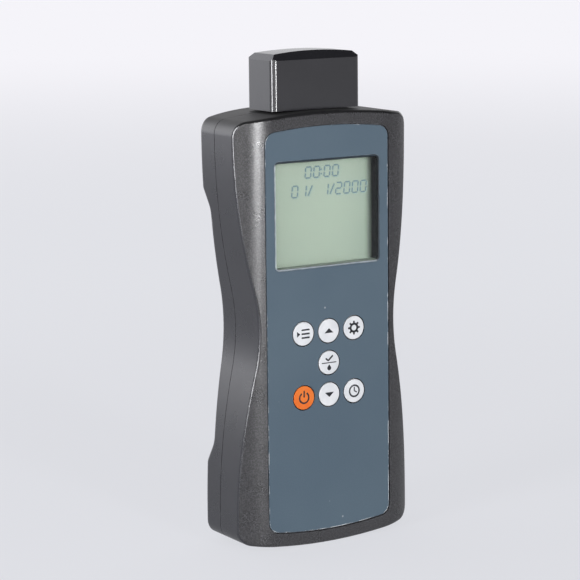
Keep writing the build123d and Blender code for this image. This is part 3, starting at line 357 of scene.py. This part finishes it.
def edge_print():
    """Cut edge of the printed film, pale where it is rubbed, which is more often low down."""
    paint = Paint("panel_edge_pale")
    low = paint.ramp(paint.axis("Z"), 120 * MM, 20 * MM, -0.08, 0.04)
    rubbed = paint.ramp(paint.math("ADD", paint.noise(7.0, 4.0, 0.7), low), 0.47, 0.6)
    tone = paint.mix(rubbed, srgb(92, 109, 123), srgb(206, 212, 217))
    rough = paint.ramp(paint.noise(1.5, 3.0), 0.3, 0.7, 0.35, 0.45)
    return paint.finish(Base_Color=tone, Roughness=rough, Normal=paint.bump(paint.noise(0.3, 2.0), 0.01, 0.5))


def foam():
    """Dull foam round the display, dark but for its foot, which is painted pale as lit."""
    paint = Paint("lining_foam", Specular_IOR_Level=0.05)
    dark = paint.mix(paint.ramp(paint.noise(1.0, 3.0), 0.3, 0.7), srgb(20, 22, 24), srgb(30, 32, 34))
    # Painted light: the foot of the foam is painted pale.
    foot = paint.ramp(paint.axis("Z"), PANE_LOW.z + 1.0 * MM, PANE_LOW.z + 0.85 * MM)
    tone = paint.mix(foot, dark, srgb(128, 138, 130))
    rough = paint.ramp(paint.noise(0.8), 0.3, 0.7, 0.7, 0.85)
    relief = paint.bump(paint.noise(0.25, 2.0), 0.02, 0.5)
    return paint.finish(Base_Color=tone, Roughness=rough, Normal=relief)


def lens_glass():
    """Clear glass with a faint blue coat."""
    paint = Paint("lens_glass", Roughness=0.04, IOR=1.5, Transmission_Weight=1.0)
    tint = paint.mix(paint.ramp(paint.noise(2.0), 0.3, 0.7), srgb(225, 232, 250), srgb(240, 244, 252))
    return paint.finish(Base_Color=tint, Normal=paint.bump(paint.noise(1.0), 0.004, 0.2))


# Plainer finishes: name, dark and light tone, lump, roughness, size and depth of the grain, metal, and nodes
PLAIN = (
    ("black_plastic", srgb(24, 24, 26), srgb(32, 32, 34), 6.0, 0.5, 0.3, 0.02, 0.0,
     ("display_frame", "detector_housing", "switch_bodies", "beeper")),
    ("light_guide", srgb(206, 226, 206), srgb(222, 236, 220), 8.0, 0.3, 0.3, 0.02, 0.0, ("light_guide",)),
    ("strip_rubber", srgb(190, 150, 160), srgb(206, 170, 178), 1.2, 0.6, 0.3, 0.02, 0.0, ("display_strip",)),
    ("stem_black", srgb(30, 30, 32), srgb(40, 40, 42), 1.5, 0.45, 0.3, 0.02, 0.0,
     tuple(f"stem_{name}" for name in KEY_NAMES)),
    ("chip_black", srgb(34, 35, 38), srgb(48, 49, 52), 1.5, 0.5, 0.15, 0.01, 0.0, ("board_chips",)),
    ("soft_rubber", srgb(30, 30, 30), srgb(40, 40, 40), 2.5, 0.68, 0.2, 0.03, 0.0,
     ("case_gasket", "chamber_seal", "cap_seal", "cap_pad")),
    ("steel", srgb(176, 178, 182), srgb(198, 200, 204), 1.2, 0.3, 0.12, 0.01, 1.0,
     ("board_screws", "case_screws", "photodiode")),
    ("shield_tin", srgb(182, 184, 182), srgb(204, 206, 203), 5.0, 0.36, 0.3, 0.01, 1.0,
     ("detector_shield", "clock_cell")),
    ("spring_strip", srgb(196, 190, 172), srgb(214, 208, 190), 2.0, 0.28, 0.2, 0.01, 1.0,
     ("contact_left", "contact_right")),
    ("chamber_black", srgb(26, 26, 29), srgb(36, 36, 40), 5.0, 0.4, 0.25, 0.02, 0.0, ("chamber_tube",)),
)


def finish_solids():
    """Every CAD node gets its finish."""
    assign(case_plastic(), "front_shell", "back_shell", "battery_door")
    assign(cap_plastic(), "cap_shell")
    assign(panel_print(), "panel_overlay")
    assign(clear_film(), "display_window")
    assign(display_face(), "display_glass")
    white = key_plastic("key_white", srgb(250, 252, 255), srgb(236, 239, 243))
    assign(white, *[f"key_{name}" for name in KEY_NAMES if name != "power"])
    assign(key_plastic("key_orange", srgb(255, 138, 58), srgb(252, 120, 42)), "key_power")
    assign(circuit_board(), "main_board", "sensor_board")
    assign(cell_wrap(), "cell_lower", "cell_upper")
    assign(lens_glass(), "detector_lens")
    for *look, nodes in PLAIN:
        assign(simple(*look), *nodes)


# Mesh helpers


def mesh_piece(name, mesh, material, body):
    """A bmesh as a piece that rides on a body."""
    bmesh.ops.recalc_face_normals(mesh, faces=mesh.faces)
    data = bpy.data.meshes.new(name)
    mesh.to_mesh(data)
    mesh.free()
    piece = bpy.data.objects.new(name, data)
    bpy.context.scene.collection.objects.link(piece)
    data.materials.append(material)
    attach(piece, body)
    return piece


def sweep(name, rings, material, smooth=True):
    """A closed tube through rings of points, in metres, as a piece of the case."""
    mesh = bmesh.new()
    rings = [[mesh.verts.new(point) for point in ring] for ring in rings]
    for here, after in zip(rings, rings[1:] + rings[:1]):
        for i in range(len(here)):
            j = (i + 1) % len(here)
            mesh.faces.new((here[i], after[i], after[j], here[j]))
    piece = mesh_piece(name, mesh, material, "case")
    for face in piece.data.polygons:
        face.use_smooth = smooth


def half_round(wide, tall):
    """Half an ellipse, from its right end over its top to its left end."""
    return [(wide * math.cos(math.radians(a)), tall * math.sin(math.radians(a))) for a in range(0, 181, 30)]


# Share of a raised shape's height that keeps its full outline
SHOULDER = 0.7


def raise_shape(mesh, outline, near, far, crown=0.0):
    """A flat outline in x and z (millimetres) that stands from far to near. A crown shrinks its top."""
    middle = [sum(values) / len(outline) for values in zip(*outline)]
    rings = []
    for y, shrink in ((far, 1.0), (near + (far - near) * (1 - SHOULDER), 1.0), (near, 1.0 - crown)):
        ring = []
        for x, z in outline:
            point = (middle[0] + (x - middle[0]) * shrink, middle[1] + (z - middle[1]) * shrink)
            ring.append(mesh.verts.new((point[0] * MM, y, point[1] * MM)))
        rings.append(ring)
    count = len(outline)
    for low, high in zip(rings, rings[1:]):
        for i in range(count):
            mesh.faces.new((low[i], low[(i + 1) % count], high[(i + 1) % count], high[i]))
    mesh.faces.new(rings[-1])
    mesh.faces.new(rings[0])


def ring_shape(mesh, center, radius, width, start, end, near, far, steps=40):
    """An arc of a flat ring in x and z, from one angle to another in degrees."""
    for i in range(steps):
        corners = []
        for share, reach in ((i, radius), (i + 1, radius), (i + 1, radius - width), (i, radius - width)):
            angle = math.radians(start + (end - start) * share / steps)
            corners.append((center[0] + reach * math.cos(angle), center[1] + reach * math.sin(angle)))
        raise_shape(mesh, corners, near, far)


def bar(start, end, width):
    """Outline of a straight stroke."""
    dx, dz = end[0] - start[0], end[1] - start[1]
    length = math.hypot(dx, dz)
    across = (-dz / length * width / 2, dx / length * width / 2)
    along = (dx / length * width / 4, dz / length * width / 4)
    return [
        (start[0] + across[0], start[1] + across[1]),
        (start[0] - along[0], start[1] - along[1]),
        (start[0] - across[0], start[1] - across[1]),
        (end[0] - across[0], end[1] - across[1]),
        (end[0] + along[0], end[1] + along[1]),
        (end[0] + across[0], end[1] + across[1]),
    ]


# Marks on the keys

# Height of the print over the key, how deep it starts inside it, and how much its top narrows
MARK_DEPTH = 0.03 * MM
MARK_ROOT = 0.01 * MM
MARK_CROWN = 0.04

# Widths of the strokes in millimetres
STROKE = 0.64
THIN_STROKE = 0.36
HAND_STROKE = 0.46
TOOTH_STROKE = 0.78


def key_middle(name):
    low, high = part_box(f"key_{name}")
    return (low.x + high.x) / 2 / MM, (low.z + high.z) / 2 / MM


def mark_strokes(name):
    """Outlines and rings of the plain sign on each key, around its middle."""
    if name == "up":
        return [[(-2.0, -0.8), (2.0, -0.8), (0.0, 1.0)]], []
    if name == "down":
        return [[(-2.0, 0.8), (2.0, 0.8), (0.0, -1.0)]], []
    if name == "select":
        rows = [bar((-0.8, z), (2.6, z), STROKE) for z in (1.5, 0.0, -1.5)]
        return rows + [[(-2.9, 1.05), (-2.9, -1.05), (-1.45, 0.0)]], []
    if name == "set":
        teeth = []
        for i in range(8):
            angle = math.radians(45 * i)
            way = (math.cos(angle), math.sin(angle))
            teeth.append(bar((way[0] * 1.75, way[1] * 1.75), (way[0] * 2.55, way[1] * 2.55), TOOTH_STROKE))
        return teeth, [(1.95, 0.85, 0, 360)]
    if name == "enter":
        tick = [bar((-1.5, 1.75), (-0.4, 0.85), STROKE), bar((-0.4, 0.85), (1.6, 2.6), STROKE)]
        return tick + [bar((-3.2, 0.0), (3.2, 0.0), THIN_STROKE), drop_outline(-1.9)], []
    if name == "power":
        return [bar((0.0, 0.3), (0.0, 2.7), STROKE)], [(2.35, STROKE, 122, 418)]
    hands = [bar((0.0, 0.0), end, HAND_STROKE) for end in ((0.0, 1.5), (1.1, -0.6))]
    return hands, [(2.5, STROKE, 0, 360)]


# The drop, in millimetres
DROP_RADIUS = 0.88
DROP_TIP = 1.25
DROP_SINK = 0.2


def drop_outline(z):
    """A small drop with its tip up, its round part just under z."""
    points = [(0.0, z + DROP_TIP)]
    for i in range(13):
        angle = math.radians(30 - 20 * i)
        points.append((DROP_RADIUS * math.cos(angle), z - DROP_SINK + DROP_RADIUS * math.sin(angle)))
    return points


def key_marks():
    """The sign on each key moves with it."""
    dark = print_ink("mark_ink", srgb(30, 33, 40), srgb(46, 49, 56))
    for name in KEY_NAMES:
        x, z = key_middle(name)
        mesh = bmesh.new()
        outlines, rings = mark_strokes(name)
        near, far = KEY_FACE - MARK_DEPTH, KEY_FACE + MARK_ROOT
        for outline in outlines:
            raise_shape(mesh, [(x + dx, z + dz) for dx, dz in outline], near, far, MARK_CROWN)
        for radius, width, start, end in rings:
            ring_shape(mesh, (x, z), radius, width, start, end, near, far)
        mesh_piece(f"mark_{name}", mesh, dark, f"button_{name}")


# Figures on the display

SEGMENTS = {
    "0": "abcdef",
    "1": "bc",
    "2": "abged",
    " ": "",
}

# Figures, in millimetres, with their lean to the right for each millimetre of height
FIGURE_WIDTH = 2.5
FIGURE_LEAN = 0.1
FIGURE_STROKE = 0.55

# Colon: half a dot, the dots' shares of the height, its shift to the left and its pitch
DOT_HALF = 0.28
DOT_RISES = (0.3, 0.7)
COLON_SHIFT = 0.25
COLON_PITCH = 0.9

# Slash: its width, how far it stays from head and foot, its shift to the left and its pitch
SLASH_WIDTH = 1.5
SLASH_INSET = 0.25
SLASH_SHIFT = 0.1
SLASH_PITCH = 2.4

# Text, place of its lower left corner in x and z, height and pitch, in millimetres
ROWS = (
    ("00:00", -7.4, 140.7, 4.1, 3.75),
    ("01/ 1/2000", -13.4, 133.7, 4.3, 3.7),
)

# Name, ink, two tones, nearer and farther depth in front of the glass, and shift in x and z, in millimetres
LAYERS = (
    ("figure_shadows", "figure_shade", srgb(126, 143, 137), srgb(134, 151, 143), 0.02, 0.01, 0.42, -0.35),
    ("figures", "figure_ink", srgb(80, 102, 112), srgb(90, 112, 120), 0.06, 0.03, 0.0, 0.0),
)


def segment_ends(height):
    """Ends of the seven strokes of a figure, from its lower left corner."""
    wide, half = FIGURE_WIDTH, height / 2
    return {
        "a": ((0, height), (wide, height)),
        "b": ((wide, half), (wide, height)),
        "c": ((wide, 0), (wide, half)),
        "d": ((0, 0), (wide, 0)),
        "e": ((0, 0), (0, half)),
        "f": ((0, half), (0, height)),
        "g": ((0, half), (wide, half)),
    }


def leaning(points, x, z):
    """Outline moved to its place and leant to the right, as display figures are."""
    return [(x + px + FIGURE_LEAN * pz, z + pz) for px, pz in points]


def shortened(start, end, gap=0.16):
    """A stroke pulled in from both ends so that neighbours don't touch."""
    dx, dz = end[0] - start[0], end[1] - start[1]
    length = math.hypot(dx, dz)
    step = ((gap + FIGURE_STROKE / 4) * dx / length, (gap + FIGURE_STROKE / 4) * dz / length)
    return (start[0] + step[0], start[1] + step[1]), (end[0] - step[0], end[1] - step[1])


def write_row(mesh, text, x, z, height, pitch, near, far):
    """A row of seven-stroke figures, colons and slashes."""
    ends = segment_ends(height)
    for letter in text:
        if letter == ":":
            for rise in DOT_RISES:
                dot = [(DOT_HALF * i, DOT_HALF * j) for i, j in ((-1, -1), (1, -1), (1, 1), (-1, 1))]
                raise_shape(mesh, leaning(dot, x - COLON_SHIFT, z + rise * height), near, far)
            x += COLON_PITCH
            continue
        if letter == "/":
            stroke = bar((0.0, SLASH_INSET), (SLASH_WIDTH, height - SLASH_INSET), FIGURE_STROKE)
            raise_shape(mesh, leaning(stroke, x - SLASH_SHIFT, z), near, far)
            x += SLASH_PITCH
            continue
        for key in SEGMENTS[letter]:
            stroke = bar(*shortened(*ends[key]), FIGURE_STROKE)
            raise_shape(mesh, leaning(stroke, x, z), near, far)
        x += pitch


def display_figures():
    """Figures in the glass, with the faint shadow that they throw on the reflector behind."""
    for name, ink, dark, light, near, far, dx, dz in LAYERS:
        mesh = bmesh.new()
        for words, x, z, height, pitch in ROWS:
            depths = (GLASS_FACE - near * MM, GLASS_FACE - far * MM)
            write_row(mesh, words, x + dx, z + dz, height, pitch, *depths)
        mesh_piece(name, mesh, print_ink(ink, dark, light), "case")


# Rings, rims and edges

# Soft ring round a key, in millimetres: radius to its middle, half its width and its height
RING_RADIUS = 4.77
RING_HALF = 0.16
RING_RISE = 0.3
RING_STEPS = 64


def key_rings():
    """Dark soft ring in the gap round each key, on the floor of the panel's pocket."""
    soft = simple("ring_rubber", srgb(20, 21, 24), srgb(28, 29, 32), 1.5, 0.6, 0.2, 0.01)
    profile = half_round(RING_HALF, RING_RISE)
    for name in KEY_NAMES:
        x, z = key_middle(name)
        rings = []
        for i in range(RING_STEPS):
            angle = math.radians(360 * i / RING_STEPS)
            ring = []
            for out, up in profile:
                reach = RING_RADIUS + out
                place = (x + reach * math.cos(angle), z + reach * math.sin(angle))
                ring.append((place[0] * MM, PANEL_BACK - up * MM, place[1] * MM))
            rings.append(ring)
        sweep(f"ring_{name}", rings, soft)


def rounded_path(low, high, radius, steps=8):
    """Points of a rounded rectangle in x and z, in metres, with the way outwards at each."""
    path = []
    corners = (
        (high.x - radius, high.z - radius, 0),
        (low.x + radius, high.z - radius, 90),
        (low.x + radius, low.z + radius, 180),
        (high.x - radius, low.z + radius, 270),
    )
    for x, z, turn in corners:
        for i in range(steps + 1):
            angle = math.radians(turn + 90 * i / steps)
            way = (math.cos(angle), math.sin(angle))
            path.append(((x + radius * way[0], z + radius * way[1]), way))
    return path


# Printed lip round the pane, in millimetres: the pane's corner, half the lip's width, its height and inset
PANE_CORNER = 1.9
RIM_HALF = 0.27
RIM_RISE = 0.1
RIM_INSET = 0.3


def window_rim():
    """Half-round lip printed round the clear pane."""
    rings = []
    for (x, z), way in rounded_path(PANE_LOW, PANE_HIGH, PANE_CORNER * MM):
        ring = []
        for out, up in half_round(RIM_HALF, RIM_RISE):
            reach = (out - RIM_INSET) * MM
            ring.append((x + way[0] * reach, PANE_LOW.y - up * MM, z + way[1] * reach))
        rings.append(ring)
    sweep("window_rim", rings, rim_highlight_and_shade())


# Foam on the walls behind the pane, in millimetres: the opening's corner, and how far in its two faces lie
WELL_CORNER = 1.3
FOAM_BACK = 0.02
FOAM_FACE = 0.12


def well_lining():
    """Thin foam on the walls between the pane and the display."""
    inset = Vector((PANE_LAP, 0.0, PANE_LAP))
    near, far = PANE_HIGH.y + 0.02 * MM, GLASS_FACE - 0.05 * MM
    profile = ((FOAM_BACK, near), (FOAM_FACE, near), (FOAM_FACE, far), (FOAM_BACK, far))
    rings = []
    for (x, z), way in rounded_path(PANE_LOW + inset, PANE_HIGH - inset, WELL_CORNER * MM):
        rings.append([(x - way[0] * depth * MM, y, z - way[1] * depth * MM) for depth, y in profile])
    sweep("well_lining", rings, foam(), smooth=False)


# How far from the foremost point still counts as the flat front
FLAT_DEPTH = 0.005 * MM


def front_outline(node):
    """The outer edge of a CAD node's flat front, as a closed path of (x, z) in metres."""
    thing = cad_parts[node]
    places = [thing.matrix_world @ vertex.co for vertex in thing.data.vertices]
    level = min(place.y for place in places) + FLAT_DEPTH
    counts = {}
    for face in thing.data.polygons:
        if all(places[i].y < level for i in face.vertices):
            for ends in face.edge_keys:
                key = tuple(sorted(tuple(round(v, 7) for v in (places[i].x, places[i].z)) for i in ends))
                counts[key] = counts.get(key, 0) + 1
    after = {}
    for (start, end), count in counts.items():
        if count == 1:
            after.setdefault(start, []).append(end)
            after.setdefault(end, []).append(start)
    walk = [min(after)]
    while True:
        onward = [point for point in after[walk[-1]] if point not in walk[-2:]]
        if not onward or onward[0] == walk[0]:
            return walk
        walk.append(onward[0])


# Rubbed edge of the panel, in millimetres: half its width, its height, and how deep it starts in the film
EDGE_HALF = 0.13
EDGE_RISE = 0.06
EDGE_ROOT = 0.01


def panel_edge():
    """Fine rubbed edge round the printed film."""
    path = front_outline("panel_overlay")
    middle = Vector([sum(values) / len(path) for values in zip(*path)])
    rings = []
    for before, (x, z), beyond in zip(path[-1:] + path[:-1], path, path[1:] + path[:1]):
        across = Vector((beyond[1] - before[1], before[0] - beyond[0])).normalized()
        if across.dot(Vector((x, z)) - middle) < 0:
            across.negate()
        ring = []
        for out, up in half_round(EDGE_HALF, EDGE_RISE):
            reach = (out - EDGE_HALF) * MM
            ring.append((x + across.x * reach, PANEL_FACE - (up - EDGE_ROOT) * MM, z + across.y * reach))
        rings.append(ring)
    sweep("panel_edge", rings, edge_print())


# Stage, lights and camera


FLOOR_NEAR = srgb(209, 210, 215)
FLOOR_MIDDLE = srgb(214, 215, 220)
FLOOR_FAR = srgb(240, 239, 244)
FLOOR_BODY = srgb(100, 101, 103)
FLOOR_RADIUS = 9.0
# How far from the object the tones change over, in metres
NEAR_REACH = (0.1, 0.7)
FAR_REACH = (0.6, 2.8)
# Share of the floor's own glow that reflections show
FLOOR_MIRRORED = 0.55


def pale_floor():
    """A wide pale floor that keeps the object's shadow and fades to the background."""
    mesh = bmesh.new()
    bmesh.ops.create_circle(mesh, cap_ends=True, cap_tris=True, segments=96, radius=FLOOR_RADIUS)
    data = bpy.data.meshes.new("floor")
    mesh.to_mesh(data)
    mesh.free()
    floor = bpy.data.objects.new("floor", data)
    bpy.context.scene.collection.objects.link(floor)
    paint = Paint("floor_white", Roughness=0.9, Specular_IOR_Level=0.1, Base_Color=FLOOR_BODY)
    away = paint.add("ShaderNodeVectorMath", {"operation": "LENGTH"}, _0=paint.place).outputs["Value"]
    near = paint.mix(paint.ramp(away, *NEAR_REACH), FLOOR_NEAR, FLOOR_MIDDLE)
    tone = paint.mix(paint.ramp(away, *FAR_REACH), near, FLOOR_FAR)
    path = paint.add("ShaderNodeLightPath").outputs
    direct = paint.math("MAXIMUM", path["Is Camera Ray"], path["Is Transmission Ray"])
    seen = paint.math("MAXIMUM", direct, paint.math("MULTIPLY", path["Is Glossy Ray"], FLOOR_MIRRORED))
    glow = paint.add("ShaderNodeEmission", Color=tone, Strength=seen)
    both = paint.add("ShaderNodeAddShader", _0=glow.outputs[0], _1=paint.shader.outputs[0])
    paint.tree.links.new(both.outputs[0], paint.tree.nodes["Material Output"].inputs["Surface"])
    data.materials.append(paint.material)


AMBIENT = (0.07, 0.07, 0.074, 1.0)
BACKDROP = (0.95, 0.95, 0.98, 1.0)
BACKDROP_SEEN = srgb(244, 243, 248)
# A direction counts as behind the object by its y, and as low enough by its z
BEHIND = (-0.1, 0.6)
LOW_ENOUGH = (0.75, 0.2)


def world_light():
    """Dim ambient light that brightens towards a pale backdrop behind the object."""
    world = bpy.data.worlds.new("studio")
    bpy.context.scene.world = world
    world.use_nodes = True
    sky = Nodes(world.node_tree)
    way = sky.add("ShaderNodeTexCoord").outputs["Generated"]
    behind = sky.ramp(sky.axis("Y", way), *BEHIND)
    low = sky.ramp(sky.axis("Z", way), *LOW_ENOUGH)
    around = sky.mix(sky.math("MULTIPLY", behind, low), AMBIENT, BACKDROP)
    seen = sky.add("ShaderNodeLightPath").outputs["Is Camera Ray"]
    sky.plug(sky.tree.nodes["Background"], {"Color": sky.mix(seen, around, BACKDROP_SEEN)})


# Name, azimuth and elevation seen from the object, distance, width, height, power in watts and colour
LAMPS = (
    ("front_lamp", 0, 9, 1.3, 0.2, 0.5, 9.4, (0.99, 0.99, 1.0)),
    ("key_lamp", -36, 16, 1.2, 0.4, 0.7, 1.8, (1.0, 0.99, 0.98)),
    ("ridge_lamp", -74, 13, 1.1, 0.3, 0.7, 7.5, (0.97, 0.97, 1.0)),
    ("back_lamp", -150, 20, 1.3, 1.6, 1.4, 5.0, (0.93, 0.94, 1.0)),
    ("top_lamp", 160, 50, 1.1, 0.6, 0.4, 0.7, (1.0, 1.0, 1.0)),
    ("right_lamp", 116, 20, 1.2, 0.5, 0.7, 1.2, (0.97, 0.98, 1.0)),
)


LAMP_TARGET = Vector((0.0, 0.0, 0.09))


def lamps():
    """Soft boxes that all look at the middle of the object."""
    for name, azimuth, elevation, distance, wide, tall, power, colour in LAMPS:
        a, e = math.radians(azimuth), math.radians(elevation)
        way = Vector((math.sin(a) * math.cos(e), -math.cos(a) * math.cos(e), math.sin(e)))
        data = bpy.data.lights.new(name, "AREA")
        data.shape = "RECTANGLE"
        data.size, data.size_y = wide, tall
        data.energy = power
        data.color = colour
        lamp = bpy.data.objects.new(name, data)
        lamp.location = LAMP_TARGET + way * distance
        lamp.visible_camera = False
        lamp.rotation_euler = (-way).to_track_quat("-Z", "Y").to_euler()
        bpy.context.scene.collection.objects.link(lamp)


CAMERA_PLACE = (-0.4720, -0.7502, 0.2468)
CAMERA_AZIMUTH = -31.86
CAMERA_ELEVATION = 9.682
CAMERA_ROLL = -0.619
CAMERA_LENS = 145.19


def camera():
    """The photograph's point of view."""
    a, e, r = (math.radians(v) for v in (CAMERA_AZIMUTH, CAMERA_ELEVATION, CAMERA_ROLL))
    back = Vector((math.sin(a) * math.cos(e), -math.cos(a) * math.cos(e), math.sin(e)))
    right = (-back).cross(Vector((0, 0, 1))).normalized()
    up = right.cross(-back)
    turned = (right * math.cos(r) + up * math.sin(r), up * math.cos(r) - right * math.sin(r), back)
    data = bpy.data.cameras.new("camera")
    data.lens = CAMERA_LENS
    data.sensor_width = 36.0
    data.sensor_fit = "HORIZONTAL"
    data.clip_end = 50.0
    eye = bpy.data.objects.new("camera", data)
    eye.matrix_world = Matrix.Translation(CAMERA_PLACE) @ Matrix(turned).transposed().to_4x4()
    bpy.context.scene.collection.objects.link(eye)
    bpy.context.scene.camera = eye


bpy.context.scene.view_settings.view_transform = "Standard"
finish_solids()
key_marks()
key_rings()
display_figures()
window_rim()
well_lining()
panel_edge()
pale_floor()
world_light()
lamps()
camera()
